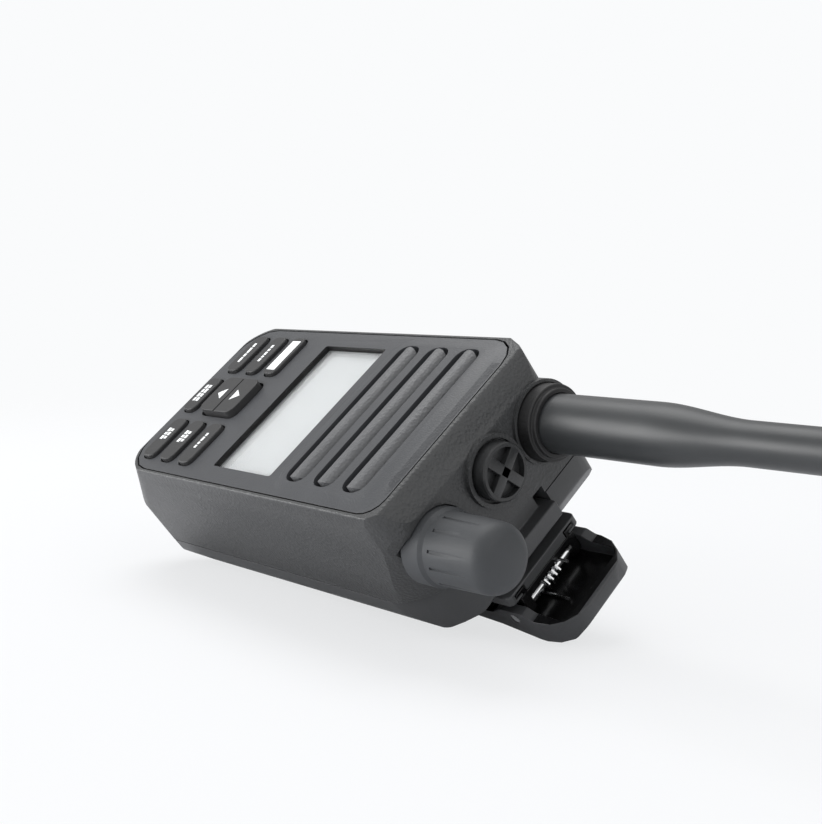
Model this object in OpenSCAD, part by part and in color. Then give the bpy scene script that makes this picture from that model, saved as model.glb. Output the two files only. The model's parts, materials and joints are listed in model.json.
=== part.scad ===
// Handheld marine radio, lying on its back: +X to its right seen from the front,
// +Y from the base to the antenna, +Z out of the front. Millimetres.
// The origin is the middle of the flat face at the base end.

/* [Body] */
// Width of the body
body_w = 58; // [54:0.5:66]
// Length of the body, from the base face to the top face
body_l = 119.6; // [117.6:0.2:132]
// Height of the front face above the origin
front_z = 18; // [17:0.5:22]
// Depth of the split between case and battery pack below the origin
split_depth = 11; // [10:0.5:14]
// Depth of the battery pack behind the split
battery_d = 10.7; // [9.5:0.1:16]
// Gap between the case and the battery pack
split_gap = 0.3; // [0.2:0.05:0.5]
// Half height of the flat face at the base end
base_half = 5; // [4:0.5:6]
// Length of the slope from the base face up to the front
base_slope = 11.5; // [10.5:0.5:12]
// Length of the chamfer at the antenna's corner, along the body
corner_l = 9; // [7:0.5:12]
// Width of the chamfer at the antenna's corner
corner_w = 4.5; // [3:0.5:6]
// Radius of the corner below the knob
knob_corner_r = 25; // [23:0.5:27]
// Radius of the corners at the base end
base_r = 10; // [8:0.5:11]
// Wall of the case
case_wall = 2.4; // [1.8:0.1:2.6]
// Wall of the battery pack
battery_wall = 1.8; // [1.4:0.1:2.2]

/* [Front] */
// Thickness of the front panel
panel_t = 2; // [1.6:0.1:2.2]
// Width of the front panel
panel_w = 54.4; // [52.8:0.2:54.6]
// Groove between the front panel and the case
groove = 0.35; // [0.2:0.05:0.5]
// Height of the raised field round the speaker slots
speaker_rise = 0.8; // [0.4:0.1:1.2]
// Width of the display window
lcd_w = 44; // [38:0.5:45]
// Length of the display window
lcd_l = 24; // [20:0.5:25]
// Middle of the display window above the base
lcd_y = 61.6; // [61:0.2:62.4]
// Distance from one speaker slot to the next
slot_pitch = 10.4; // [9:0.1:10.8]
// Length of a speaker slot
slot_l = 46; // [40:0.5:47]
// Width of a speaker slot
slot_w = 7.4; // [7:0.1:7.8]
// Width of the bar that stands in each speaker slot
bar_w = 6.2; // [5:0.1:6.4]

/* [Keys] */
// Length of a side key
key_l = 14.2; // [12:0.2:14.6]
// Width of a side key
key_w = 5.8; // [5:0.1:6.2]
// Distance from one row of keys to the next
key_pitch = 8.8; // [8.4:0.05:9.4]
// Middle of the centre key above the base
key_y = 17; // [16.8:0.1:17.6]
// Middle of a side key from the centre line
key_x = 16.7; // [16:0.1:16.8]
// Height of the keys above the panel
key_proud = 1; // [0.6:0.1:1.6]
// Travel of a key
key_travel = 0.6; // [0.4:0.05:0.7]
// Length of the rocker key along the body
rocker_l = 15.4; // [13:0.1:15.8]
// Width of the rocker key and of the key below it
rocker_w = 12.6; // [11:0.1:13]
// Gap round each key
key_gap = 0.35; // [0.3:0.05:0.45]
// Gap round the rocker key, which tilts
rocker_gap = 0.55; // [0.5:0.05:0.7]

/* [Top end] */
// Antenna axis from the side of the body
antenna_in = 10; // [9.8:0.1:10.4]
// Knob axis from the side of the body
knob_in = 9.6; // [9.6:0.1:10]
// Height of the antenna and knob axes above the origin
control_z = 1.6; // [1:0.1:2]
// Jack axis from the centre line, towards the antenna
jack_x = 1; // [0:0.1:1]
// Height of the jack axis above the origin
jack_z = 4; // [3.8:0.1:4.4]
// Radius of the antenna sleeve
sleeve_r = 6.6; // [6:0.1:7]
// Radius of the antenna whip
whip_r = 4.5; // [4:0.1:5]
// Length of the antenna
antenna_l = 160; // [100:1:200]
// Length of the antenna's thick sleeve
sleeve_l = 32.4; // [24:0.2:40]
// Radius of the volume knob
knob_r = 8; // [7:0.1:8.1]
// Length of the volume knob, with its skirt
knob_l = 24; // [20:0.5:26]
// Length of the knob's skirt
skirt_l = 5.6; // [4:0.2:7]
// Depth of the recess that the knob stands in
knob_sink = 4.6; // [3:0.2:5]
// Radius of the jack cap
cap_r = 6.5; // [5.6:0.1:6.6]
// Height of the jack cap
cap_l = 3.8; // [3:0.1:5]

/* [Talk key] */
// Length of the talk key
ptt_l = 28; // [22:0.5:30]
// Width of the talk key
ptt_w = 11; // [9:0.1:11.4]
// Height of the talk key above the side
ptt_proud = 1.3; // [1.1:0.1:2]

/* [Belt clip] */
// Width of the clip lever
clip_w = 27; // [26:0.5:32]
// Length of the clip lever from its pin to its foot
arm_l = 55; // [48:0.5:56]
// Length of the clip lever from its pin to its thumb end
thumb_l = 16; // [13:0.5:18]
// Pin axis from the top face
pin_in = 2.6; // [2.4:0.2:4.6]
// Depth of the pin axis behind the battery pack
pin_depth = 7; // [7:0.1:9]
// Radius of the clip pin
pin_r = 1.25; // [1:0.05:1.3]
// Thickness of the clip lever
clip_t = 1.8; // [1.6:0.1:2.4]
// Radius of the spring's curls, to the middle of its wire
spring_r = 2; // [1.9:0.05:2.1]
// Thickness of the spring wire
wire_d = 0.8; // [0.6:0.05:0.8]
// Distance from one curl of the spring to the next
spring_pitch = 1.5; // [1.4:0.05:1.7]

/* [Hidden] */
$fn = 48;
eps = 0.01;
fit = 0.03;         // clearance of a seated pin, shaft or screw
run = 0.05;         // clearance of a turning pin or shaft
clear = 0.3;        // clearance between pieces that move apart

z_split = -split_depth;
z_battery = z_split - split_gap;
z_back = z_battery - battery_d;
half_w = body_w / 2;
antenna_x = half_w - antenna_in;
knob_x = half_w - knob_in;
pin_y = body_l - pin_in;
z_panel = front_z - panel_t;          // underside of the front panel
z_wall = z_panel - case_wall;         // inner face of the case behind the panel
panel_y0 = base_slope + 0.6;
panel_y1 = body_l - 3.4;
inner_x = half_w - case_wall;

/* rounding of outlines */
function unit(v) = v / norm(v);
function arc_at(a, b, c, r, n) =
  let(u = unit(a - b),
      w = unit(c - b),
      half = acos(u * w) / 2,
      centre = b + unit(u + w) * (r / sin(half)),
      p = b + u * (r / tan(half)) - centre,
      q = b + w * (r / tan(half)) - centre,
      side = sign(p[0] * q[1] - p[1] * q[0]))
  [for (i = [0 : n])
    let(t = side * (180 - 2 * half) * i / n)
    centre + [p[0] * cos(t) - p[1] * sin(t), p[0] * sin(t) + p[1] * cos(t)]];
// corners: a list of [point, radius], or [point, radius, steps]
function rounded(corners, n = 4) =
  let(m = len(corners))
  [for (i = [0 : m - 1])
    each arc_at(corners[(i + m - 1) % m][0], corners[i][0], corners[(i + 1) % m][0], corners[i][1],
                len(corners[i]) > 2 ? corners[i][2] : n)];

module plate(x0, x1, y0, y1, z0, z1, r = 1) {
  translate([0, 0, z0])
    linear_extrude(z1 - z0)
      polygon(rounded([[[x0, y0], r], [[x1, y0], r], [[x1, y1], r], [[x0, y1], r]]));
}
module block(x0, x1, y0, y1, z0, z1) {
  translate([x0, y0, z0]) cube([x1 - x0, y1 - y0, z1 - z0]);
}
// round bar along +Y
module rod_y(x, z, r, y0, y1, sides = 48) {
  translate([x, y0, z]) rotate([-90, 0, 0]) cylinder(r = r, h = y1 - y0, $fn = sides);
}
// round bar along +X
module rod_x(y, z, r, x0, x1, sides = 32) {
  translate([x0, y, z]) rotate([0, 90, 0]) cylinder(r = r, h = x1 - x0, $fn = sides);
}
module ring_y(x, z, r_out, r_in, y0, y1) {
  difference() {
    rod_y(x, z, r_out, y0, y1);
    rod_y(x, z, r_in, y0 - 1, y1 + 1);
  }
}

/* outlines of the whole body, moved in by i */
// seen from the front, round the corner with the knob; lift raises the base edge
module outline(i, lift, corner) {
  w = half_w - i;
  r = max(base_r - i, 1.5);
  y_low = i + lift;
  y_top = body_l - i;
  polygon(rounded([
    [[-w, y_low], r], [[w, y_low], r],
    [[w, y_top], corner - i, 12],
    [[-half_w + corner_w + i * 0.4, y_top], 5], [[-w, body_l - corner_l], 6]]));
}
// outline at the split and behind it
module plan(i, lift = 0) {
  outline(i, lift, knob_corner_r);
}
// what the corner with the knob loses: it draws in towards the back, round a leaning cylinder
corner_lean = [-9.9, 12.6, 0];
front_corner_r = 8;
module corner_waste(i) {
  reach = 2 * knob_corner_r;
  translate([half_w - knob_corner_r, body_l - knob_corner_r, z_split])
  rotate(corner_lean)
  difference() {
    block(0, reach, 0, reach, -reach / 2, reach);
    translate([0, 0, -reach / 2 - 1]) cylinder(r = knob_corner_r - i, h = 2 * reach, $fn = 96);
  }
}
// what the corners at the base lose: round cylinders that lean with the slope of the base
base_lean = atan(base_slope / (front_z - base_half));
module base_waste(i) {
  reach = 3 * base_r;
  for (s = [0, 1])
    mirror([s, 0, 0])
      translate([half_w - base_r, 0, base_half])
      rotate([-base_lean, 0, 0])
      translate([0, base_r, 0])
      difference() {
        block(0, reach, -reach, 0, -reach, reach);
        translate([0, 0, -reach - 1]) cylinder(r = base_r - i, h = 2 * reach + 2, $fn = 64);
      }
}
// seen from the side, as [y, z]; top_i lowers the front
module profile(i, top_i) {
  polygon(rounded([
    [[base_slope + i * 0.3, front_z - top_i], 2],
    [[base_slope * 0.38 + i, front_z - 7.5], 5],
    [[i, base_half], 3],
    [[i, -base_half], 3],
    [[2.6 + i, z_split], 4],
    [[6 + i, z_back + 5], 4],
    [[13 + i * 0.5, z_back + i], 2],
    [[body_l - 4 - i * 0.5, z_back + i], 2],
    [[body_l - i, z_back + 5], 2],
    [[body_l - i, front_z - 6.5], 2],
    [[body_l - 2 - i, front_z - top_i], 1.2]]));
}
// seen from the end, as [x, z]
module section(i, top_i) {
  half = [
    [[half_w - 0.7 - i, front_z - top_i], 0.5],
    [[half_w - i, front_z - top_i - 3.6], 3],
    [[half_w - 0.3 - i, -2], 6],
    [[half_w - 1 - i, z_battery - 4], 4],
    [[half_w - 4.4 - i, z_back + i], 1.5]];
  other = [for (k = [len(half) - 1 : -1 : 0]) [[-half[k][0][0], half[k][0][1]], half[k][1]]];
  polygon(rounded(concat(half, other)));
}
module sides(i, top_i) {
  intersection() {
    translate([-half_w - 1, 0, 0])
      rotate([90, 0, 90]) linear_extrude(body_w + 2) profile(i, top_i);
    translate([0, body_l + 1, 0]) rotate([90, 0, 0]) linear_extrude(body_l + 2) section(i, top_i);
  }
}
module case_form(i, top_i) {
  difference() {
    intersection() {
      translate([0, 0, z_split]) linear_extrude(front_z - z_split + 1) outline(i, 0, front_corner_r);
      sides(i, top_i);
    }
    corner_waste(i);
    base_waste(i);
  }
}
module pack_form(i) {
  intersection() {
    translate([0, 0, z_back - 1]) linear_extrude(z_battery - z_back + 1) plan(i);
    sides(i, 0);
  }
}

/* places of the keys: [x, y] */
function row_y(row) = key_y + 2.4 + row * key_pitch;    // the side keys
rocker_y = key_y + 14.2;
key_flange = 0.8;
key_z0 = z_panel - 1;            // underside of a key
mat_z1 = key_z0 - key_travel - 0.2;
mat_t = 1.3;
pad_y0 = panel_y0 + 0.8;         // opening in the case behind the keys
pad_y1 = lcd_y - lcd_l / 2 - 4.1;
pad_x = panel_w / 2 - 2.2;
board_t = 1.6;
keypad_board_t = 1.2;

/* places behind the panel */
lcd_lip = 1;
slot_y0 = lcd_y + lcd_l / 2 + 10.4;      // middle of the first speaker slot
slots_mid = slot_y0 + slot_pitch;
field_y0 = slot_y0 - slot_w / 2 - 3.4;   // edge of the raised field beside the display
grille_y0 = slot_y0 - slot_w / 2 - 1.6;
grille_y1 = slot_y0 + 2 * slot_pitch + slot_w / 2 + 1.6;
grille_x = slot_l / 2 + 0.6;
grille_z1 = z_panel - 0.1;
grille_t = 1.2;
membrane_t = 0.3;
speaker_r = 15;
speaker_z1 = grille_z1 - grille_t - membrane_t;
mic_x = -2;
mic_r = 2;
mic_y = lcd_y + lcd_l / 2 + lcd_lip + 0.4 + mic_r;
mic_l = 2.5;

/* places inside the case */
board_x = half_w - 6;
board_y0 = 10;
board_y1 = body_l - 21;
board_z0 = 4;
cover_t = 2.8;
cover_i = case_wall + 1.2;       // outline of the rear cover and the battery lid
cover_lift = 1.8;
cover_z1 = z_split + cover_t;
chassis_z1 = cover_z1 + 4.3;
chassis_z0 = chassis_z1 - 3;
screw_r = 1.25;
screw_head_r = 2.3;
screw_head_t = 1.4;
low_screw = [half_w - 7.6, 18];
top_screw = [9.5, body_l - 9];
boss_r = 2.8;
screw_z0 = z_split + 0.1;
screw_l = 8;

/* top end */
top_y = body_l;
seal_w = 2.1;
collar_in = sleeve_r + seal_w + 0.3;
collar_r = collar_in + 0.7;
collar_h = 0.8;
seal_h = 4.4;
skirt = 0.6;
recess_r = knob_r + skirt + 0.3;
knob_boss_r = recess_r + 0.7;
knob_seat = body_l - knob_sink;
cap_ring_r = cap_r + 1.7;
cap_ring_h = 1.2;
cap_ring_in = cap_r + 0.7;
boss_y0 = body_l - 13;
connector_r = 3.5;
connector_tip_r = 3;
connector_tip_l = 5.5;
seal_t = 0.5;
ferrule_r = 4.8;
ferrule_l = 6;
antenna_y0 = top_y + 0.1 + seal_t;
plug_r = 3.2;
plug_l = 6;
shaft_r = 2;
bush_r = 3.5;
encoder_half = 4.6;
encoder_y1 = boss_y0 - 0.3;
knob_y0 = knob_seat + 0.7;
shaft_l = 11;                    // length of the shaft in the knob

/* talk key, on the side opposite the knob */
ptt_y = 84;
ptt_z = 2.7;
ptt_gap = 0.3;
ptt_flange = 0.8;
ptt_flange_t = 0.9;
ptt_x0 = -inner_x + 0.4 + clear;
ptt_travel = 1;

/* latch at the top end of the battery pack */
latch_x = -2;
latch_w = 15;
latch_travel = 2;
latch_h = 4.2;
latch_y0 = body_l - 4.6;
latch_y1 = body_l + 2;
latch_z1 = z_battery - 2;
tongue_w = 10;
tongue_t = 1.6;
tongue_y0 = body_l - 2.9;
tongue_h = 3.8;
bay_y0 = latch_y0 - 0.3 - 1.1;
bay_z0 = latch_z1 - latch_h - latch_travel - 0.3;
cells_y1 = bay_y0 - battery_wall;
cell_w = half_w - 4.4 - battery_wall - 1;

/* belt clip */
rail_t = 2.6;
rail_w = 27;
rail_y0 = pin_y - 18;
rail_y1 = body_l - 0.2;
rail_z0 = z_back - rail_t;
slot_in = 8;
slot_out = 11.6;
slot_neck = 1.4;
slot_gap = 0.3;
bracket_t = 1.5;
bracket_w = 21;
bracket_z1 = rail_z0 - 0.1;
bracket_z0 = bracket_z1 - bracket_t;
pin_z = z_back - pin_depth;
ear_r = pin_r + 1.15;
ear_t = 2.5;
flange_t = 2.5;
floor_z1 = pin_z - ear_r - 0.3;      // inner face of the lever beside the pin
foot_y = pin_y - arm_l;
tip_y = pin_y + thumb_l;

// screw boss with its web to the side wall, grown by g; s is its side
module low_boss(s, g) {
  x0 = min(s * low_screw[0], s * (inner_x + 0.4));
  x1 = max(s * low_screw[0], s * (inner_x + 0.4));
  translate([s * low_screw[0], low_screw[1], cover_z1 + 0.1]) cylinder(r = boss_r + g, h = 10);
  block(x0, x1, low_screw[1] - 1.5 - g, low_screw[1] + 1.5 + g, cover_z1 + 0.1, cover_z1 + 10.1);
}
module front_case() {
  color("#37383a")
  difference() {
    union() {
      difference() {
        case_form(0, 0);
        difference() {
          case_form(case_wall, panel_t + case_wall);
          block(-half_w, half_w, 0, body_l, z_wall, front_z);
        }
        block(-half_w, half_w, 0, case_wall + 2.6, z_split - 1, z_split);
      }
      rod_y(-antenna_x, control_z, collar_r, boss_y0, top_y + collar_h);
      intersection() {
        case_form(0, 0);
        rod_y(knob_x, control_z, knob_boss_r, boss_y0, top_y);
      }
      rod_y(-jack_x, jack_z, cap_ring_r, body_l - case_wall - 1, top_y + cap_ring_h);
      for (s = [-1, 1]) {
        low_boss(s, 0);
        translate([s * top_screw[0], top_screw[1], cover_z1 + 0.1]) cylinder(r = boss_r, h = 7);
        block(s * top_screw[0] - 1.5, s * top_screw[0] + 1.5, top_screw[1], body_l - 1,
              cover_z1 + 0.1, cover_z1 + 7.1);
      }
    }
    // seat of the front panel and the openings behind it
    panel_plate(groove, z_panel, front_z + 1);
    plate(-pad_x, pad_x, pad_y0, pad_y1, z_wall - 1, z_panel + 1, 2);
    plate(-lcd_w / 2 - 1.2, lcd_w / 2 + 1.2, lcd_y - lcd_l / 2 - 1.3, lcd_y + lcd_l / 2 + 1.3,
          z_wall - 1, z_panel + 1, 0.8);
    plate(-grille_x - 0.3, grille_x + 0.3, grille_y0 - 0.3, grille_y1 + 0.3,
          z_wall - 1, z_panel + 1, 2);
    translate([mic_x, mic_y, z_wall - 1]) cylinder(r = 0.8, h = case_wall + 2);
    // bores at the top end
    rod_y(-antenna_x, control_z, collar_in, top_y, top_y + collar_h + 1);
    rod_y(-antenna_x, control_z, connector_r + fit, boss_y0 - 1, top_y + 1);
    rod_y(knob_x, control_z, recess_r, knob_seat, top_y + 1);
    rod_y(knob_x, control_z, bush_r + fit, boss_y0 - 1, top_y + 1);
    rod_y(-jack_x, jack_z, cap_ring_in, top_y, top_y + cap_ring_h + 1);
    rod_y(-jack_x, jack_z, plug_r + run, body_l - 8, top_y + 1);
    rod_y(-jack_x, jack_z, plug_r + 1.3, top_y - 0.8, top_y + 1);
    // window of the talk key
    ptt_form(-half_w - 1, -inner_x + 2, ptt_gap);
    // slot for the latch tongue
    block(latch_x - latch_w / 2, latch_x + latch_w / 2, body_l - case_wall - 2, body_l + 1,
          z_split - 1, z_split + 1.9);
    // screw holes
    for (s = [-1, 1]) {
      translate([s * low_screw[0], low_screw[1], z_split]) cylinder(r = screw_r + fit, h = screw_l + 1);
      translate([s * top_screw[0], top_screw[1], z_split]) cylinder(r = screw_r + fit, h = screw_l + 1);
    }
  }
}

panel_base_r = 10;
// outline of the front panel, grown by g; tighter at the corner with the knob
module panel_plate(g, z0, z1) {
  x = panel_w / 2 + g;
  translate([0, 0, z0])
  linear_extrude(z1 - z0)
  polygon(rounded([
    [[-x, panel_y0 - g], panel_base_r], [[x, panel_y0 - g], panel_base_r],
    [[x, panel_y1 + g], 5], [[-x, panel_y1 + g], 8]]));
}
module key_hole(x, y, l, w, gap) {
  plate(x - l / 2 - gap, x + l / 2 + gap, y - w / 2 - gap, y + w / 2 + gap,
        z_panel - 1, front_z + 2, w * 0.36);
}
module front_panel() {
  color("#3b3c3e")
  difference() {
    union() {
      panel_plate(0, z_panel, front_z);
      // raised field with sloping sides
      hull() {
        plate(-panel_w / 2 + 0.4, panel_w / 2 - 0.4, field_y0, panel_y1 - 0.4, front_z - 0.5, front_z, 7);
        plate(-slot_l / 2 - 0.9, slot_l / 2 + 0.9, field_y0 + 0.9, panel_y1 - 1.8,
              front_z, front_z + speaker_rise, 5);
      }
    }
    plate(-lcd_w / 2 - 0.2, lcd_w / 2 + 0.2, lcd_y - lcd_l / 2 - 0.2, lcd_y + lcd_l / 2 + 0.2,
          z_panel - 1, front_z + 2, 0.6);
    for (s = [-1, 1])
      for (row = [0 : 2])
        key_hole(s * key_x, row_y(row), key_l, key_w, key_gap);
    key_hole(0, key_y, rocker_w, key_w, key_gap);
    plate(-rocker_w / 2 - rocker_gap, rocker_w / 2 + rocker_gap,
          rocker_y - rocker_l / 2 - rocker_gap, rocker_y + rocker_l / 2 + rocker_gap,
          z_panel - 1, front_z + 2, 2.5);
    for (k = [0 : 2])
      plate(-slot_l / 2, slot_l / 2, slot_y0 + k * slot_pitch - slot_w / 2,
            slot_y0 + k * slot_pitch + slot_w / 2, z_panel - 1, front_z + 2, 3);
    plate(mic_x - 1.6, mic_x + 1.6, mic_y - 0.5, mic_y + 0.5, z_panel - 1, front_z + 2, 0.45);
  }
}

module lcd_window() {
  color("#c3cbc4", 0.6)
  union() {
    plate(-lcd_w / 2 - lcd_lip, lcd_w / 2 + lcd_lip, lcd_y - lcd_l / 2 - lcd_lip,
          lcd_y + lcd_l / 2 + lcd_lip, z_panel - 1.1, z_panel, 0.6);
    plate(-lcd_w / 2, lcd_w / 2, lcd_y - lcd_l / 2, lcd_y + lcd_l / 2,
          z_panel - 0.5, z_panel + 0.8, 0.5);
  }
}
module lcd_module() {
  color("#8d9790")
  plate(-lcd_w / 2 - 0.8, lcd_w / 2 + 0.8, lcd_y - lcd_l / 2 - 0.8, lcd_y + lcd_l / 2 + 0.8,
        z_panel - 4.1, z_panel - 1.2, 0.5);
}

module keypad_board() {
  z1 = mat_z1 - mat_t;
  color("#1d4d35")
  plate(-pad_x + 0.6, pad_x - 0.6, pad_y0 + 0.6, pad_y1 - 0.6, z1 - keypad_board_t, z1, 1);
}
module keypad_mat() {
  color("#2a2a2b")
  plate(-pad_x + 0.3, pad_x - 0.3, pad_y0 + 0.3, pad_y1 - 0.3, mat_z1 - mat_t, mat_z1, 1.5);
}
module key(x, y, l, w) {
  color("#2c2c2e")
  union() {
    plate(x - l / 2, x + l / 2, y - w / 2, y + w / 2, key_z0, front_z + key_proud, w * 0.36);
    plate(x - l / 2 - key_flange, x + l / 2 + key_flange, y - w / 2 - key_flange,
          y + w / 2 + key_flange, key_z0, z_panel - clear, w * 0.36);
  }
}
module left_key_top() key(-key_x, row_y(2), key_l, key_w);
module left_key_middle() key(-key_x, row_y(1), key_l, key_w);
module left_key_bottom() key(-key_x, row_y(0), key_l, key_w);
module right_key_top() key(key_x, row_y(2), key_l, key_w);
module right_key_middle() key(key_x, row_y(1), key_l, key_w);
module right_key_bottom() key(key_x, row_y(0), key_l, key_w);
module centre_key() key(0, key_y, rocker_w, key_w);
module rocker_key() {
  x = rocker_w / 2;
  color("#2c2c2e")
  difference() {
    union() {
      plate(-x, x, rocker_y - rocker_l / 2, rocker_y + rocker_l / 2,
            key_z0, front_z + key_proud + 0.8, 2.4);
      block(-x - 1.2, x + 1.2, rocker_y - 1.5, rocker_y + 1.5, key_z0, z_panel - clear);
    }
    block(-x - 2, x + 2, rocker_y - 0.25, rocker_y + 0.25,
          front_z + key_proud + 0.4, front_z + key_proud + 2);
  }
}

bar_z = front_z + speaker_rise + 0.5 - bar_w / 2;    // axis of a bar's round top
bar_end = (slot_w - bar_w) / 2 + 0.3;                // gap between a bar's end and its slot
module bar_plate(k, z0, z1) {
  plate(-slot_l / 2 + bar_end, slot_l / 2 - bar_end, slot_y0 + k * slot_pitch - bar_w / 2,
        slot_y0 + k * slot_pitch + bar_w / 2, z0, z1, bar_w / 2 - 0.2);
}
module speaker_grille() {
  color("#2f3032")
  difference() {
    union() {
      plate(-grille_x, grille_x, grille_y0, grille_y1, grille_z1 - grille_t, grille_z1, 1.8);
      for (k = [0 : 2])
        intersection() {
          rod_x(slot_y0 + k * slot_pitch, bar_z, bar_w / 2, -slot_l / 2, slot_l / 2);
          bar_plate(k, grille_z1 - 0.5, front_z + 5);
        }
      for (k = [0 : 2])
        bar_plate(k, grille_z1 - 0.5, bar_z);
    }
    // drain holes along both sides of each bar
    for (k = [0 : 2])
      for (s = [-1, 1])
        for (n = [-2 : 2])
          translate([n * 7, slot_y0 + k * slot_pitch + s * (bar_w + slot_w) / 4, grille_z1 - 2])
            cylinder(r = 0.25, h = 3, $fn = 16);
  }
}
module speaker_membrane() {
  color("#18181a")
  translate([0, slots_mid, speaker_z1]) cylinder(r = speaker_r - 0.5, h = membrane_t);
}
module speaker() {
  color("#444444")
  translate([0, slots_mid, 0])
  difference() {
    union() {
      translate([0, 0, speaker_z1 - 2.6]) cylinder(r = speaker_r, h = 2.6);
      translate([0, 0, speaker_z1 - 4.6]) cylinder(r1 = 9, r2 = 13, h = 2.1);
      translate([0, 0, board_z0 + board_t + 0.3]) cylinder(r = 8.5, h = speaker_z1 - 4.5 - board_z0 - board_t - 0.3);
    }
    translate([0, 0, speaker_z1 - 1]) cylinder(r = speaker_r - 1.5, h = 2);
  }
}
module microphone() {
  color("#8c8c8c")
  translate([mic_x, mic_y, z_wall - mic_l - 0.1]) cylinder(r = mic_r, h = mic_l);
}

module main_board() {
  color("#1d5a3c")
  plate(-board_x, board_x, board_y0, board_y1, board_z0, board_z0 + board_t, 2);
}
module shield_can() {
  color("#b9bcc0")
  plate(-14, 14, 40, 90, board_z0 - 3.4, board_z0, 0.8);
}
module cover_outline(extra) {
  plan(cover_i + extra, cover_lift);
}
module chassis() {
  color("#a7aaae")
  difference() {
    union() {
      intersection() {
        translate([0, 0, chassis_z0]) linear_extrude(chassis_z1 - chassis_z0) cover_outline(0.8);
        block(-half_w, half_w, 0, body_l - 14, chassis_z0 - 1, chassis_z1 + 1);
      }
      for (x = [-18, 18])
        for (y = [board_y0 + 2, 55, board_y1 - 3]) {
          translate([x, y, cover_z1]) cylinder(r = 2.2, h = chassis_z0 - cover_z1 + eps);
          translate([x, y, chassis_z1 - eps]) cylinder(r = 2.2, h = board_z0 - chassis_z1 + eps);
        }
    }
    for (s = [-1, 1])
      low_boss(s, 0.3);
  }
}
module case_seal() {
  color("#1c1c1d")
  translate([0, 0, z_split + 0.8])
  linear_extrude(1)
  difference() {
    cover_outline(0);
    cover_outline(1);
  }
}
module rear_cover() {
  color("#2d2e30")
  difference() {
    translate([0, 0, z_split]) linear_extrude(cover_t) cover_outline(0);
    translate([0, 0, z_split + 0.8])
    linear_extrude(1)
    difference() {
      plan(0);
      cover_outline(1);
    }
    for (p = [low_screw, top_screw])
      for (s = [-1, 1]) {
        translate([s * p[0], p[1], z_split - 1]) cylinder(r = screw_r + fit, h = 9);
        translate([s * p[0], p[1], z_split - 1])
          cylinder(r = screw_head_r + 0.2, h = screw_head_t + 1.1);
      }
  }
}
module case_screws() {
  color("#9a9c9f")
  for (p = [low_screw, top_screw])
    for (s = [-1, 1])
      translate([s * p[0], p[1], screw_z0])
      difference() {
        union() {
          cylinder(r = screw_head_r, h = screw_head_t);
          cylinder(r = screw_r, h = screw_l);
        }
        translate([0, 0, -0.1]) cylinder(r = 1, h = 0.9, $fn = 6);
      }
}

module antenna_connector() {
  color("#b8954a")
  difference() {
    union() {
      rod_y(-antenna_x, control_z, connector_r, boss_y0 - 3, top_y);
      rod_y(-antenna_x, control_z, connector_tip_r, top_y - eps, top_y + connector_tip_l);
    }
    rod_y(-antenna_x, control_z, 1.2, top_y, top_y + connector_tip_l + 1, 24);
  }
}
module antenna_seal() {
  color("#1b1b1c")
  difference() {
    union() {
      rod_y(-antenna_x, control_z, sleeve_r + seal_w, top_y + 0.1, antenna_y0 + seal_h - 1);
      rod_y(-antenna_x, control_z, sleeve_r + seal_w - 0.9, antenna_y0, antenna_y0 + seal_h);
    }
    rod_y(-antenna_x, control_z, connector_tip_r + run, top_y - 1, top_y + 2);
    rod_y(-antenna_x, control_z, sleeve_r + run, antenna_y0, antenna_y0 + seal_h + 1);
  }
}
module antenna_ferrule() {
  color("#b8954a")
  ring_y(-antenna_x, control_z, ferrule_r, connector_tip_r + run, antenna_y0, antenna_y0 + ferrule_l);
}
module antenna_whip() {
  y1 = antenna_l;
  color("#2b2c2e")
  translate([-antenna_x, antenna_y0, control_z])
  rotate([-90, 0, 0])
  difference() {
    rotate_extrude()
      polygon([
        [0, 0], [sleeve_r - 0.6, 0], [sleeve_r, 0.6], [sleeve_r, sleeve_l],
        [sleeve_r - 0.25, sleeve_l + 3], [whip_r + 1.25, sleeve_l + 11],
        [whip_r + 0.5, sleeve_l + 16], [whip_r, sleeve_l + 22], [whip_r - 0.3, y1 - 3.5],
        for (k = [0 : 4]) [whip_r - 0.3 - 3 * (1 - cos(k * 18)), y1 - 3 + 3 * sin(k * 18)],
        [0, y1]]);
    translate([0, 0, -1]) cylinder(r = ferrule_r + fit, h = ferrule_l + 1 + fit);
  }
}

module jack_socket() {
  color("#222224")
  difference() {
    union() {
      rod_y(-jack_x, jack_z, 4.2, boss_y0 - 3, body_l - case_wall - plug_l + 0.8);
      block(-jack_x - 4.2, -jack_x + 4.2, board_y1 - 4, boss_y0 - 3 + eps,
            board_z0 - 4.2, board_z0);
    }
    rod_y(-jack_x, jack_z, 1.8, boss_y0, body_l, 24);
  }
}
module jack_cap() {
  color("#303133")
  difference() {
    union() {
      rod_y(-jack_x, jack_z, cap_r, top_y + 0.4, top_y + 0.4 + cap_l);
      rod_y(-jack_x, jack_z, plug_r, top_y - plug_l + 1, top_y + 0.5);
    }
    // notches round the rim and on the diagonals
    for (k = [0 : 3])
      translate([-jack_x, 0, jack_z])
        rotate([0, 45 + k * 90, 0])
          block(cap_r - 2.6, cap_r + 1, top_y + 1.6, top_y + cap_l + 2, -1.3, 1.3);
    for (k = [0 : 11])
      translate([-jack_x, 0, jack_z])
        rotate([0, 15 + k * 30, 0])
          block(cap_r - 0.45, cap_r + 1, top_y, top_y + cap_l + 2, -0.4, 0.4);
  }
}
module jack_cap_seal() {
  color("#1b1b1c")
  ring_y(-jack_x, jack_z, plug_r + 1.1, plug_r + run, top_y - 0.7, top_y + 0.35);
}

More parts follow.
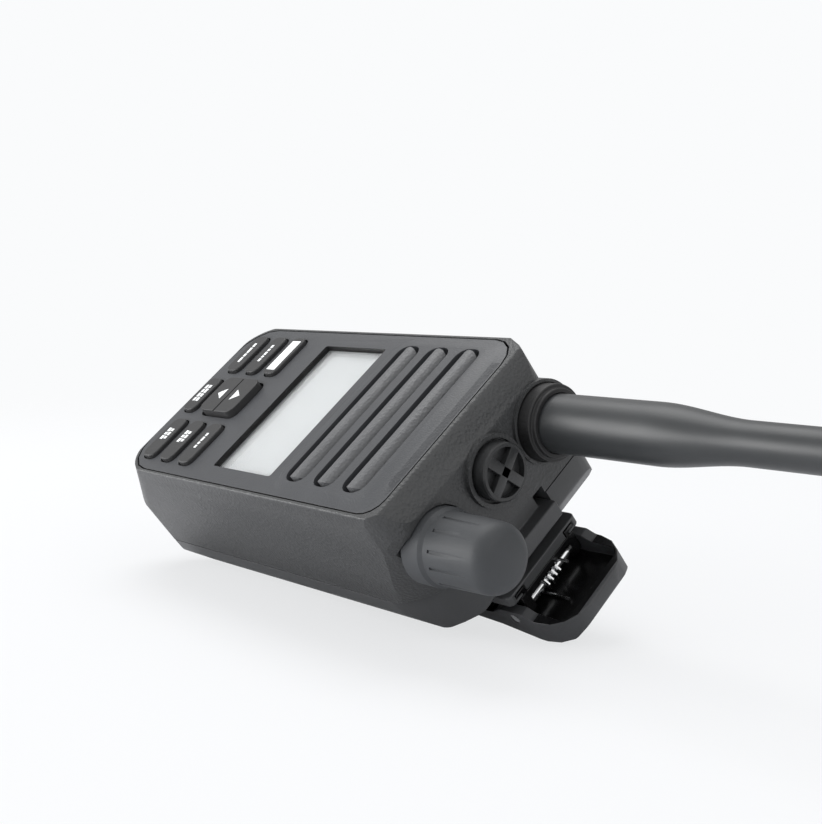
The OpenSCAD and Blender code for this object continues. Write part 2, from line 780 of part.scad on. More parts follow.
module volume_encoder() {
  color("#5a5d60")
  difference() {
    union() {
      block(knob_x - encoder_half, knob_x + encoder_half, encoder_y1 - 6.4, encoder_y1,
            control_z - encoder_half, control_z + encoder_half);
      rod_y(knob_x, control_z, bush_r, encoder_y1 - eps, knob_seat - 2.6);
    }
    rod_y(knob_x, control_z, shaft_r + run, encoder_y1 - 5, top_y);
  }
}
module knob_shaft() {
  color("#c9cbce")
  rod_y(knob_x, control_z, shaft_r, encoder_y1 - 4.8, knob_y0 + shaft_l);
}
module knob_seal() {
  color("#1b1b1c")
  ring_y(knob_x, control_z, bush_r, shaft_r + run, knob_seat - 2.4, knob_seat - 0.6);
}
tip_r = 4;                       // rounding of the knob's end
pad_w = 4.5;                     // width of a grip pad, between its two grooves
pad_groove = 0.7;
module volume_knob() {
  color("#2e2f31")
  difference() {
    translate([knob_x, knob_y0, control_z])
    rotate([-90, 0, 0])
    rotate_extrude()
      polygon([
        [0, 0], [knob_r + skirt - 0.4, 0], [knob_r + skirt, 0.5], [knob_r + skirt, skirt_l],
        [knob_r, skirt_l + 1],
        for (a = [0 : 15 : 75])
          [knob_r - 0.4 - tip_r * (1 - cos(a)), knob_l - tip_r - 0.3 + tip_r * sin(a)],
        [0, knob_l]]);
    for (k = [0 : 5])
      for (s = [-1, 1])
        translate([knob_x, 0, control_z])
          rotate([0, k * 60, 0])
            block(knob_r - pad_groove, knob_r + 1, knob_y0 + skirt_l + 2.4, knob_y0 + knob_l - 5.6,
                  s * pad_w / 2 - pad_groove / 2, s * pad_w / 2 + pad_groove / 2);
    rod_y(knob_x, control_z, shaft_r + fit, knob_y0 - 1, knob_y0 + shaft_l + fit);
  }
}

// block with rounded corners that fills the talk key's window, grown by g
module ptt_form(x0, x1, g) {
  translate([x0, ptt_y, ptt_z])
  rotate([90, 0, 90])
  linear_extrude(x1 - x0)
  polygon(rounded([
    [[-ptt_l / 2 - g, -ptt_w / 2 - g], 3], [[ptt_l / 2 + g, -ptt_w / 2 - g], 3],
    [[ptt_l / 2 + g, ptt_w / 2 + g], 3], [[-ptt_l / 2 - g, ptt_w / 2 + g], 3]]));
}
module ptt_button() {
  color("#29292b")
  union() {
    ptt_form(-half_w - ptt_proud, ptt_x0 + 0.1, 0);
    ptt_form(ptt_x0, ptt_x0 + ptt_flange_t, ptt_flange);
    for (k = [-2 : 2])
      block(-half_w - ptt_proud - 0.4, -half_w - ptt_proud + eps,
            ptt_y + k * 4 - 0.6, ptt_y + k * 4 + 0.6, ptt_z - 3.6, ptt_z + 3.6);
  }
}
module ptt_switch() {
  x0 = ptt_x0 + ptt_flange_t + ptt_travel + 0.1;
  color("#6d6f72")
  block(x0, x0 + 3, ptt_y - 4, ptt_y + 4, ptt_z - 4, board_z0);
}

module battery_shell() {
  color("#343536")
  difference() {
    pack_form(0);
    intersection() {
      pack_form(battery_wall);
      block(-half_w, half_w, 0, cells_y1, z_back - 1, z_battery + 1);
    }
    block(latch_x - latch_w / 2 - 0.3, latch_x + latch_w / 2 + 0.3, bay_y0, body_l + 1,
          bay_z0, z_battery + 1);
  }
}
module battery_lid() {
  color("#2b2b2c")
  intersection() {
    translate([0, 0, z_battery - battery_wall]) linear_extrude(battery_wall)
      plan(battery_wall + 1.8, cover_lift + 1);
    block(-half_w, half_w, 0, cells_y1 - 0.2, z_back, z_battery + 1);
  }
}
module battery_cells() {
  color("#3c6ea5")
  for (s = [-1, 1])
    plate(s * (cell_w / 2 + 0.1) - cell_w / 2, s * (cell_w / 2 + 0.1) + cell_w / 2, 16, cells_y1 - 3,
          z_back + battery_wall, z_battery - battery_wall - 0.1, 3);
}
module battery_contacts() {
  color("#d0b060")
  for (x = [-7, 0, 7])
    block(x - 1.5, x + 1.5, 24, 29, z_battery, z_battery + split_gap - 0.1);
}
module battery_latch() {
  color("#1f1f20")
  union() {
    block(latch_x - latch_w / 2, latch_x + latch_w / 2, latch_y0, latch_y1,
          latch_z1 - latch_h, latch_z1);
    block(latch_x - tongue_w / 2, latch_x + tongue_w / 2, tongue_y0, tongue_y0 + tongue_t,
          latch_z1 - eps, latch_z1 + tongue_h);
  }
}
module latch_spring() {
  // two short springs between the floor of the bay and the latch
  z1 = latch_z1 - latch_h - 0.1;
  color("#bfc2c6")
  for (s = [-1, 1])
    translate([latch_x + s * 5, latch_y0 + 1.6, bay_z0])
    difference() {
      cylinder(r = 1.2, h = z1 - bay_z0);
      translate([0, 0, -1]) cylinder(r = 0.7, h = z1 - bay_z0 + 2);
    }
}

module rail_slots(gap) {
  for (s = [-1, 1]) {
    block(min(s * (slot_in + gap), s * (slot_in + slot_neck - gap)),
          max(s * (slot_in + gap), s * (slot_in + slot_neck - gap)),
          rail_y0 - 1, rail_y1 + 1, rail_z0 - 1, rail_z0 + 1.3);
    block(min(s * (slot_in + gap), s * (slot_out - gap)),
          max(s * (slot_in + gap), s * (slot_out - gap)),
          rail_y0 - 1, rail_y1 + 1, rail_z0 + 0.6 + gap, rail_z0 + 1.9 - gap);
  }
}
module clip_rail() {
  color("#343536")
  difference() {
    plate(-rail_w / 2, rail_w / 2, rail_y0, rail_y1, rail_z0, z_back, 1.5);
    rail_slots(0);
    translate([0, rail_y0 + 5, rail_z0 - 1]) cylinder(r = screw_r + fit, h = 3);
  }
}
module clip_bracket() {
  color("#202021")
  difference() {
    union() {
      block(-bracket_w / 2, bracket_w / 2, rail_y0 + 1, rail_y1, bracket_z0, bracket_z1);
      intersection() {
        rail_slots(slot_gap);
        block(-half_w, half_w, rail_y0 + 1, rail_y1, bracket_z1 - eps, z_back);
      }
      for (s = [-1, 1])
        intersection() {
          union() {
            rod_x(pin_y, pin_z, ear_r, s * (bracket_w / 2 - ear_t / 2) - ear_t / 2,
                  s * (bracket_w / 2 - ear_t / 2) + ear_t / 2);
            block(s * (bracket_w / 2 - ear_t / 2) - ear_t / 2, s * (bracket_w / 2 - ear_t / 2) + ear_t / 2,
                  pin_y - ear_r, pin_y + ear_r, pin_z, bracket_z0 + eps);
          }
          block(-half_w, half_w, 0, body_l + 5, pin_z - 9, bracket_z0 + 0.5);
        }
    }
    rod_x(pin_y, pin_z, pin_r + fit, -half_w, half_w);
    translate([0, rail_y0 + 5, bracket_z0 - 1]) cylinder(r = screw_r + fit, h = 4);
  }
}
module bracket_screw() {
  color("#9a9c9f")
  translate([0, rail_y0 + 5, bracket_z0 - 1.3])
  difference() {
    union() {
      cylinder(r = 2.3, h = 1.3);
      cylinder(r = screw_r, h = 1.3 + bracket_t + 0.1 + 1.7);
    }
    translate([0, 0, -0.1]) cylinder(r = 1, h = 0.8, $fn = 6);
  }
}
module clip_lever() {
  w = clip_w / 2;
  color("#19191a")
  difference() {
    intersection() {
      translate([-w, 0, 0])
      rotate([90, 0, 90])
      linear_extrude(clip_w)
      polygon(rounded([
        [[foot_y, z_back - clear - 0.05], 0.6],
        [[foot_y - 0.5, z_back - 6.2], 1],
        [[pin_y - 6, floor_z1 - clip_t + 1.2], 4],
        [[pin_y + 5, floor_z1 - clip_t - 0.9], 4],
        [[tip_y - 2.5, floor_z1 - clip_t - 1.2], 1.5],
        [[tip_y, floor_z1 - clip_t + 0.6], 1.5],
        [[tip_y, floor_z1 + 2.6], 1],
        [[pin_y + 5.5, floor_z1 + 3.6], 2],
        [[pin_y + 3.4, pin_z + ear_r], 1.2],
        [[pin_y - 3.4, pin_z + ear_r], 1.2],
        [[pin_y - 7, floor_z1 + 3.2], 3],
        [[foot_y + 4, z_back - 4.5], 1.2],
        [[foot_y + 2.6, z_back - clear - 0.05], 0.6]]));
      translate([0, 0, z_back - 40])
      linear_extrude(45)
      polygon(rounded([
        [[-w + 3, foot_y - 2], 4], [[w - 3, foot_y - 2], 4],
        [[w, pin_y - 20], 20], [[w, tip_y], 9], [[-w, tip_y], 9], [[-w, pin_y - 20], 20]]));
    }
    // hollow between the flanges
    plate(-w + flange_t, w - flange_t, pin_y - 6.5, tip_y - flange_t, floor_z1, z_back, 2);
    rod_x(pin_y, pin_z, pin_r + run, -w - 1, w + 1);
  }
}
module clip_pin() {
  color("#c4c7ca")
  rod_x(pin_y, pin_z, pin_r, -clip_w / 2 + 0.2, clip_w / 2 - 0.2);
}

/* torsion spring: one tube, from a leg under the bracket, round the pin, to a leg on the lever */
curls = 4;
curl_rings = 8;
wire_sides = 6;
coil_n = curls * curl_rings + curl_rings / 2;
coil_x0 = -spring_pitch * (curls + 0.5) / 2;
leg_l = 5;
function coil_point(k) =
  let(a = 90 + 360 * k / curl_rings)
  [coil_x0 + spring_pitch * k / curl_rings, pin_y + spring_r * cos(a), pin_z + spring_r * sin(a)];
leg_x1 = -coil_x0;
wire_path = concat(
  [[coil_x0, pin_y + leg_l, bracket_z0 - wire_d / 2 - 0.1],
   [coil_x0, pin_y + leg_l * 0.6, bracket_z0 - wire_d / 2 - 0.1],
   [coil_x0, pin_y + leg_l * 0.2, pin_z + spring_r]],
  [for (k = [0 : coil_n]) coil_point(k)],
  [[leg_x1, pin_y + leg_l * 0.4, pin_z - spring_r], [leg_x1, pin_y + leg_l + 3, floor_z1 + wire_d / 2 + 0.1]]);
function along(path, k) =
  unit(path[min(k + 1, len(path) - 1)] - path[max(k - 1, 0)]);
function wire_ring(path, k) =
  let(t = along(path, k),
      u = unit([1, 0, 0] - t * t[0]),
      v = cross(t, u))
  [for (s = [0 : wire_sides - 1])
    path[k] + wire_d / 2 * (u * cos(360 * s / wire_sides) + v * sin(360 * s / wire_sides))];
self_gap = min([for (i = [0 : coil_n - curl_rings / 2])
  for (j = [i + curl_rings / 2 + 1 : coil_n])
    norm(coil_point(i) - coil_point(j)) - wire_d]);
echo(spring_least_gap = self_gap);
module clip_spring() {
  n = len(wire_path);
  m = wire_sides;
  color("#c9ccd0")
  polyhedron(
    points = [for (k = [0 : n - 1]) each wire_ring(wire_path, k)],
    faces = concat(
      [for (s = [1 : m - 2]) [0, s, s + 1]],
      [for (s = [1 : m - 2]) [(n - 1) * m, (n - 1) * m + s + 1, (n - 1) * m + s]],
      [for (k = [0 : n - 2]) for (s = [0 : m - 1])
        [k * m + s, (k + 1) * m + s, (k + 1) * m + (s + 1) % m]],
      [for (k = [0 : n - 2]) for (s = [0 : m - 1])
        [k * m + s, (k + 1) * m + (s + 1) % m, k * m + (s + 1) % m]]));
}

front_case();
front_panel();
lcd_window();
lcd_module();
keypad_board();
keypad_mat();
left_key_top();
left_key_middle();
left_key_bottom();
right_key_top();
right_key_middle();
right_key_bottom();
centre_key();
rocker_key();
speaker_grille();
speaker_membrane();
speaker();
microphone();
main_board();
shield_can();
chassis();
case_seal();
rear_cover();
case_screws();
antenna_connector();
antenna_seal();
antenna_ferrule();
antenna_whip();
jack_socket();
jack_cap();
jack_cap_seal();
volume_encoder();
knob_shaft();
volume_knob();
knob_seal();
ptt_button();
ptt_switch();
battery_shell();
battery_lid();
battery_cells();
battery_contacts();
battery_latch();
latch_spring();
clip_rail();
clip_bracket();
bracket_screw();
clip_lever();
clip_pin();
clip_spring();
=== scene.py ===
"""Handheld marine radio lying on its back: finishes and fine shapes over the CAD frame."""
import json
from math import cos, pi, radians, sin

import bmesh
import bpy
from mathutils import Matrix, Vector


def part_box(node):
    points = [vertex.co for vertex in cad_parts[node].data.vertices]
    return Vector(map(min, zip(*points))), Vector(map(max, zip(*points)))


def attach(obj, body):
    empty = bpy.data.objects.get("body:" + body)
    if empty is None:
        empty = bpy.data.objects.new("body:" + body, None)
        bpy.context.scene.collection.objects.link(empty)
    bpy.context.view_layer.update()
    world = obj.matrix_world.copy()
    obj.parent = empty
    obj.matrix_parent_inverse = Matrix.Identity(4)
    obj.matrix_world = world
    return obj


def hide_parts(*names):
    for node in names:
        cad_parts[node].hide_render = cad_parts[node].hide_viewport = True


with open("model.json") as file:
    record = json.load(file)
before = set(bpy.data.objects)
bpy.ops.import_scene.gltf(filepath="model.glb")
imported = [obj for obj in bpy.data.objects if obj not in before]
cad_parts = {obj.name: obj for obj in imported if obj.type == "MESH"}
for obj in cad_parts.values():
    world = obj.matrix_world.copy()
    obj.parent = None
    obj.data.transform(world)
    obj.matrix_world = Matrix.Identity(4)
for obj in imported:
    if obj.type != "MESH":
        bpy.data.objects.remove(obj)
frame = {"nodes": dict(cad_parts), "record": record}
MM = 0.001
Y = Vector((0, 1, 0))
Z = Vector((0, 0, 1))
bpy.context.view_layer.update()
SCENE = bpy.context.scene


# ---------------------------------------------------------------- materials

CLOUD_MM = 9        # size of the soft patches in which colour and gloss vary
DISPLAY_DOT_MM = 0.35


def linear(hex_colour):
    """sRGB hex value to the linear colour that a shader takes."""
    parts = [int(hex_colour[i:i + 2], 16) / 255 for i in (1, 3, 5)]
    return [c / 12.92 if c <= 0.04045 else ((c + 0.055) / 1.055) ** 2.4 for c in parts] + [1.0]


def add(tree, kind, settings=None, **links):
    """Adds one node; settings go to sockets or attributes, links join sockets."""
    node = tree.nodes.new(kind)
    for key, value in (settings or {}).items():
        if key in node.inputs:
            node.inputs[key].default_value = value
        else:
            setattr(node, key, value)
    for key, source in links.items():
        tree.links.new(source, node.inputs[key.replace("_", " ")])
    return node


def new_material(name):
    mat = bpy.data.materials.new(name)
    mat.use_nodes = True
    mat.node_tree.nodes.clear()
    return mat, mat.node_tree


def finish_material(tree, shader):
    out = add(tree, "ShaderNodeOutputMaterial")
    tree.links.new(shader.outputs["BSDF"], out.inputs["Surface"])


def mixed_colour(tree, factor, first_hex, second_hex):
    """Mixes two colours by a pattern."""
    colour = add(tree, "ShaderNodeMix", {"data_type": "RGBA"})
    tree.links.new(factor, colour.inputs["Factor"])
    colour.inputs[6].default_value = linear(first_hex)
    colour.inputs[7].default_value = linear(second_hex)
    return colour.outputs[2]


def moulded(name, low, high, roughness, grain_mm, depth_mm, rough_var=0.06, specular=0.5):
    """Moulded plastic or rubber: two close colours, a spark-eroded grain and a gloss that varies."""
    mat, tree = new_material(name)
    coords = add(tree, "ShaderNodeTexCoord").outputs["Object"]
    cloud = add(tree, "ShaderNodeTexNoise", {"Scale": 1 / (CLOUD_MM * MM), "Detail": 3.0}, Vector=coords)
    grain = add(tree, "ShaderNodeTexNoise", {"Scale": 1 / (grain_mm * MM), "Detail": 2.0, "Roughness": 0.6},
                Vector=coords)
    pits = add(tree, "ShaderNodeTexVoronoi", {"Scale": 0.8 / (grain_mm * MM)}, Vector=coords)
    rough = add(tree, "ShaderNodeMapRange",
                {"To Min": roughness - rough_var, "To Max": roughness + rough_var},
                Value=cloud.outputs["Fac"])
    height = add(tree, "ShaderNodeMath", {"operation": "MULTIPLY"})
    tree.links.new(grain.outputs["Fac"], height.inputs[0])
    tree.links.new(pits.outputs["Distance"], height.inputs[1])
    bump = add(tree, "ShaderNodeBump", {"Strength": 1.0, "Distance": depth_mm * MM},
               Height=height.outputs["Value"])
    shader = add(tree, "ShaderNodeBsdfPrincipled", {"Specular IOR Level": specular})
    tree.links.new(mixed_colour(tree, cloud.outputs["Fac"], low, high), shader.inputs["Base Color"])
    tree.links.new(rough.outputs["Result"], shader.inputs["Roughness"])
    tree.links.new(bump.outputs["Normal"], shader.inputs["Normal"])
    finish_material(tree, shader)
    return mat


def drawn_metal(name, colour_hex, roughness, streak_mm=0.25):
    """Drawn or machined metal: fine marks in its gloss."""
    mat, tree = new_material(name)
    coords = add(tree, "ShaderNodeTexCoord").outputs["Object"]
    marks = add(tree, "ShaderNodeTexNoise", {"Scale": 1 / (streak_mm * MM), "Detail": 2.0}, Vector=coords)
    rough = add(tree, "ShaderNodeMapRange", {"To Min": roughness - 0.07, "To Max": roughness + 0.07},
                Value=marks.outputs["Fac"])
    shader = add(tree, "ShaderNodeBsdfPrincipled", {"Base Color": linear(colour_hex), "Metallic": 1.0})
    tree.links.new(rough.outputs["Result"], shader.inputs["Roughness"])
    finish_material(tree, shader)
    return mat


def clear_sheet(name):
    """Polycarbonate window: clear, hard-coated and glossy."""
    mat, tree = new_material(name)
    coords = add(tree, "ShaderNodeTexCoord").outputs["Object"]
    haze = add(tree, "ShaderNodeTexNoise", {"Scale": 1 / (5 * MM), "Detail": 2.0}, Vector=coords)
    rough = add(tree, "ShaderNodeMapRange", {"To Min": 0.02, "To Max": 0.07}, Value=haze.outputs["Fac"])
    shader = add(tree, "ShaderNodeBsdfPrincipled",
                 {"Base Color": linear("#fdfefe"), "Transmission Weight": 0.95, "IOR": 1.58})
    tree.links.new(rough.outputs["Result"], shader.inputs["Roughness"])
    finish_material(tree, shader)
    return mat


def display_face(name):
    """Reflective liquid-crystal display, switched off: pale silver grey with a fine dot grid."""
    mat, tree = new_material(name)
    coords = add(tree, "ShaderNodeTexCoord").outputs["Object"]
    cells = add(tree, "ShaderNodeTexVoronoi", {"Scale": 1 / (DISPLAY_DOT_MM * MM), "Randomness": 0.0},
                Vector=coords)
    shader = add(tree, "ShaderNodeBsdfPrincipled", {"Roughness": 0.35})
    tree.links.new(mixed_colour(tree, cells.outputs["Distance"], "#fbfcfd", "#f0f3f4"),
                   shader.inputs["Base Color"])
    finish_material(tree, shader)
    return mat


# Moulded finishes: name, two colours, roughness, grain size and depth in mm. Where the real grain is too fine
# to show in the render, it is drawn coarser.
MAT = {
    # spark-eroded mould: a pebbled skin that breaks the highlights into fine points
    "case": moulded("case ABS, spark-eroded", "#38393a", "#414243", 0.44, 0.62, 0.2),
    # a finer mould than the case's: an evener, slightly cooler grey
    "panel": moulded("panel ABS, fine spark-eroded", "#3b3c3f", "#434548", 0.42, 0.4, 0.07),
    # a coarse mould: a broad, soft stripe of light along each round bar; the bars' grey, lighter than the
    # panel's, is a painted highlight for their lit tops
    "bars": moulded("speaker bar ABS, coarse spark-eroded, painted highlight", "#545557", "#616264", 0.46, 0.55, 0.2),
    # moulded smoother than the case: a longer, softer sheen
    "pack": moulded("pack ABS, satin", "#3f4041", "#47484a", 0.4, 0.5, 0.03),
    # pressed silicone: dark and dull, so that the white print stands out
    "keys": moulded("silicone keys", "#2b2b2c", "#323233", 0.55, 0.35, 0.04),
    # smooth overmould: one long highlight down the whip
    "antenna": moulded("antenna TPU, smooth", "#303233", "#37393b", 0.4, 0.6, 0.012),
    # pressed rubber: nearly black, with hardly any highlight; on the panel's rim walls it is painted shade
    "rubber_and_painted_shade": moulded("black rubber", "#1b1b1c", "#232324", 0.55, 0.4, 0.02),
    # smooth mould: dark, with a slight gloss on the rim
    "cap": moulded("jack cap, moulded nylon", "#28292a", "#303132", 0.34, 0.45, 0.03),
    # soft-touch lacquer: grey and dull, with a wide, faint highlight
    "knob": moulded("knob, soft-touch over ABS", "#3c3e40", "#45474a", 0.55, 0.5, 0.015, rough_var=0.05,
                    specular=0.35),
    # polished mould: black, with sharp reflections of the lamps
    "clip": moulded("clip nylon, polished", "#0c0c0d", "#111112", 0.2, 0.5, 0.008),
    # the same nylon, satin; its lighter grey is painted light, standing in for the light on the lever's rim
    "clip_rim_painted_light": moulded("clip nylon, satin, painted light", "#37383a", "#404143", 0.4, 0.5, 0.03),
    # moulded, left as it is: black and matt, so that gaps stay in shade; on the display's recess walls and
    # the window's edges it is painted shade
    "inner": moulded("inner plastic, matt, and painted shade", "#0f0f10", "#151516", 0.6, 0.4, 0.02),
    # printed ink: flat white
    "white": moulded("white key print", "#eceff0", "#f7f8f8", 0.5, 0.4, 0.01),
    "window": clear_sheet("window polycarbonate"),
    "display": display_face("display, switched off"),
    # plated: a soft grey shine
    "steel": drawn_metal("screw steel, nickel plated", "#a9abad", 0.3),
    # drawn through a die: bright, with sharp glints
    "wire": drawn_metal("spring wire, bright drawn", "#d8d9da", 0.2),
    # turned: warm yellow
    "brass": drawn_metal("turned brass", "#b8954a", 0.3),
    # die-cast: dull, with coarse patches in its gloss
    "alloy": drawn_metal("die-cast alloy", "#b4b6b8", 0.5, streak_mm=0.8),
    # lacquered laminate: green, with a thin gloss
    "board": moulded("circuit board, solder mask", "#14532f", "#1a6038", 0.35, 0.5, 0.02),
    # shrunk film: blue, smooth and slightly glossy
    "wrap": moulded("cell wrap, shrink PVC", "#2d5f9a", "#3569a5", 0.35, 0.5, 0.01),
}


# ---------------------------------------------------------------- mesh helpers

SMOOTH_ANGLE = radians(32)    # edges sharper than this stay sharp in shading
ROUNDED_ANGLE = radians(28)   # edges sharper than this are rounded
LATHE_STEPS = 72


def body_of(node):
    return next(body for body, nodes in frame["record"]["behaviour"]["bodies"].items() if node in nodes)


def make_object(name, bm, material):
    mesh = bpy.data.meshes.new(name)
    bm.to_mesh(mesh)
    bm.free()
    obj = bpy.data.objects.new(name, mesh)
    SCENE.collection.objects.link(obj)
    mesh.materials.append(MAT[material])
    mesh.shade_smooth()
    mesh.set_sharp_from_angle(angle=SMOOTH_ANGLE)
    return obj


def place(obj, node):
    """Rides on the node's body and stands for the node."""
    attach(obj, body_of(node))
    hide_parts(node)


def rounded_copy(node, material, width_mm, segments):
    """A copy of a CAD solid with its edges rounded, as a mould leaves them."""
    source = frame["nodes"][node]
    bm = bmesh.new()
    bm.from_mesh(source.data)
    bmesh.ops.remove_doubles(bm, verts=bm.verts, dist=0.002 * MM)
    bmesh.ops.dissolve_limit(bm, angle_limit=radians(1.0), verts=bm.verts, edges=bm.edges)
    obj = make_object(node + "_dressed", bm, material)
    bevel = obj.modifiers.new("edges", "BEVEL")
    bevel.width = width_mm * MM
    bevel.segments = segments
    bevel.limit_method = "ANGLE"
    bevel.angle_limit = ROUNDED_ANGLE
    place(obj, node)
    return obj


def second_finish(obj, material, chosen):
    """Gives the faces that the test chooses another material, a finish of their own or painted shade on
    walls; it gets their middle in mm and their normal.
    """
    obj.data.materials.append(MAT[material])
    index = len(obj.data.materials) - 1
    for face in obj.data.polygons:
        if chosen(face.center / MM, face.normal):
            face.material_index = index


def dress(node, material):
    """Gives a CAD solid that keeps its own mesh a finish."""
    obj = frame["nodes"][node]
    obj.data.materials.clear()
    obj.data.materials.append(MAT[material])


def corners(node):
    """The node's lowest and highest corners, in mm."""
    low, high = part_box(node)
    return Vector(low) / MM, Vector(high) / MM


def centre(node):
    low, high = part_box(node)
    return (Vector(low) + Vector(high)) / 2


def lathe_y(name, profile, middle, material):
    """Spins [radius, y] points, in mm, about the Y axis through middle (in metres)."""
    bm = bmesh.new()
    verts = [bm.verts.new((middle.x + r * MM, y * MM, middle.z)) for r, y in profile]
    edges = [bm.edges.new(pair) for pair in zip(verts, verts[1:])]
    bmesh.ops.spin(bm, geom=verts + edges, cent=(middle.x, 0, middle.z), axis=Y, angle=2 * pi,
                   steps=LATHE_STEPS, use_merge=True)
    bmesh.ops.remove_doubles(bm, verts=bm.verts, dist=0.001 * MM)
    bmesh.ops.recalc_face_normals(bm, faces=bm.faces)
    return make_object(name, bm, material)


# ---------------------------------------------------------------- case, panel, pack

PANEL_RIM = 1.2        # how far in from the panel's outline its rim wall may lie
PANEL_RIM_DEPTH = 1.3  # how far below the panel's top its rim wall starts


def front_panel():
    panel = rounded_copy("front_panel", "panel", 0.3, 3)
    low, high = corners("lcd_window")
    # painted shade: the walls round the display get the black inner finish for the shade in its recess
    second_finish(panel, "inner", lambda at, normal: abs(normal.z) < 0.5
                  and low.x < at.x < high.x and low.y < at.y < high.y)
    start, end = corners("front_panel")
    side = end.x - PANEL_RIM
    # painted shade: the panel's rim walls, down in its groove, get the near-black rubber finish for the shade
    # that falls there
    second_finish(panel, "rubber_and_painted_shade", lambda at, normal: abs(normal.z) < 0.5
                  and at.z < end.z - PANEL_RIM_DEPTH
                  and (abs(at.x) > side or at.y < start.y + PANEL_RIM or at.y > end.y - PANEL_RIM))


def case_pieces():
    rounded_copy("front_case", "case", 0.45, 3)
    front_panel()
    rounded_copy("battery_shell", "pack", 0.5, 3)
    rounded_copy("clip_rail", "pack", 0.25, 2)
    rounded_copy("battery_latch", "pack", 0.4, 3)


# ---------------------------------------------------------------- keys

KEYS = ["left_key_top", "left_key_middle", "left_key_bottom",
        "right_key_top", "right_key_middle", "right_key_bottom", "centre_key", "rocker_key"]
MARK_SINK = 0.01    # how deep a printed mark starts in its key
MARK_DEPTH = 0.05   # thickness of a printed mark
DASH_GAP = 0.35


def keys():
    for node in KEYS:
        rounded_copy(node, "keys", 0.55, 4)


def print_marks(name, node, outlines):
    """Thin printed marks on a key's top; an outline holds x, y in mm from the key's middle."""
    top_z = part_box(node)[1][2]
    mid = centre(node)
    bm = bmesh.new()
    for outline in outlines:
        verts = [bm.verts.new((mid.x + x * MM, mid.y + y * MM, top_z - MARK_SINK * MM)) for x, y in outline]
        face = bm.faces.new(verts)
        raised = bmesh.ops.extrude_face_region(bm, geom=[face])
        top = [item for item in raised["geom"] if isinstance(item, bmesh.types.BMVert)]
        bmesh.ops.translate(bm, vec=Z * MARK_DEPTH * MM, verts=top)
    bmesh.ops.recalc_face_normals(bm, faces=bm.faces)
    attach(make_object(name, bm, "white"), body_of(node))


def bar(x0, x1, y0, y1):
    return [(x0, y0), (x1, y0), (x1, y1), (x0, y1)]


def dashes(x0, y0, height, widths):
    """A row of plain dashes from x0 on, in the place of a legend."""
    row = []
    for width in widths:
        row.append(bar(x0, x0 + width, y0, y0 + height))
        x0 += width + DASH_GAP
    return row


def arrow(base_y, tip_y, half_width):
    """A triangle; with a negative half width, one that points down still faces up."""
    return [(-half_width, base_y), (half_width, base_y), (0, tip_y)]


def key_marks():
    """Generic marks only: plain fields, dashes and arrows."""
    print_marks("mark_filled_key", "left_key_top", [bar(-5.6, 5.6, -1.8, 1.8)])
    print_marks("mark_left_middle", "left_key_middle", dashes(-3.6, -0.5, 1.0, [1.1, 0.9, 1.2, 0.8, 1.1]))
    print_marks("mark_left_bottom", "left_key_bottom", dashes(-3.9, -0.5, 1.0, [1.4, 2.1, 1.2, 1.9]))
    print_marks("mark_right_top", "right_key_top", dashes(-3.4, -0.45, 0.9, [1.0, 1.5, 0.8, 1.0]))
    two_rows = dashes(-3.2, -1.3, 1.1, [1.3, 0.9, 1.3]) + dashes(-3.0, 0.2, 1.1, [0.9, 1.2, 0.9])
    print_marks("mark_right_middle", "right_key_middle", two_rows)
    print_marks("mark_right_bottom", "right_key_bottom", two_rows)
    print_marks("mark_centre", "centre_key", dashes(-3.3, -1.3, 1.1, [1.4, 1.1, 1.5, 1.2])
                + dashes(-3.3, 0.2, 1.1, [1.1, 1.6, 1.2, 1.3]))
    print_marks("mark_arrows", "rocker_key", [arrow(2.3, 5.1, 1.9), arrow(-2.3, -5.1, -1.9)])


# ---------------------------------------------------------------- speaker and display

def speaker_bars():
    # painted highlight: the bars get a lighter grey than the panel for the light on their tops
    rounded_copy("speaker_grille", "bars", 0.3, 2)


def display():
    sheet = rounded_copy("lcd_window", "window", 0.1, 1)
    # painted shade: the window's side edges are black, so that a dark band of shade shows along the recess
    # through the window
    second_finish(sheet, "inner", lambda at, normal: abs(normal.z) < 0.5)
    dress("lcd_module", "display")


# ---------------------------------------------------------------- top end

SLEEVE_L = 32.4       # the antenna's thick sleeve, up to where it thins
SLEEVE_STRAIGHT = 8   # how far before that its straight side ends
SLEEVE_EDGE = 0.5     # chamfer at its foot
TAPER_L = 22
TAPER_STEPS = 16
WHIP_R = 4.5
TIP_DRAFT = 0.3       # what the whip's radius loses towards its tip


def antenna():
    low, high = corners("antenna_whip")
    sleeve = (high.z - low.z) / 2
    taper_y = low.y + SLEEVE_L
    profile = [(0, low.y), (sleeve - SLEEVE_EDGE, low.y), (sleeve, low.y + SLEEVE_EDGE),
               (sleeve, taper_y - SLEEVE_STRAIGHT)]
    for k in range(TAPER_STEPS + 1):
        t = k / TAPER_STEPS
        ease = t * t * (3 - 2 * t)
        profile.append((sleeve + (WHIP_R - sleeve) * ease, taper_y + TAPER_L * t))
    tip = WHIP_R - TIP_DRAFT
    tip_y = high.y - tip
    profile += [(tip * cos(a * pi / 20), tip_y + tip * sin(a * pi / 20)) for a in range(10)]
    profile.append((0, high.y))
    place(lathe_y("antenna_cover", profile, centre("antenna_whip"), "antenna"), "antenna_whip")
    rounded_copy("antenna_seal", "rubber_and_painted_shade", 0.35, 3)


def knob():
    rounded_copy("volume_knob", "knob", 0.35, 3)


CAP_HEAD = 3.8        # height of the jack cap's head
CAP_POCKET = 1.7      # depth of the pockets between its arms
CAP_WALL = 1.0
CAP_ARM = 2.5         # width of an arm of its cross
CAP_ARM_ROUND = 0.25
CAP_ARM_PROUD = 0.1   # how far the arms stand above the rim
CAP_ARM_TURNS = (22, 112)
CAP_PLUG_IN = 1.2     # the plug's radius is this much smaller than the socket's half width
ARM_OVERLAP = 0.2     # how far the arms reach into rim and floor


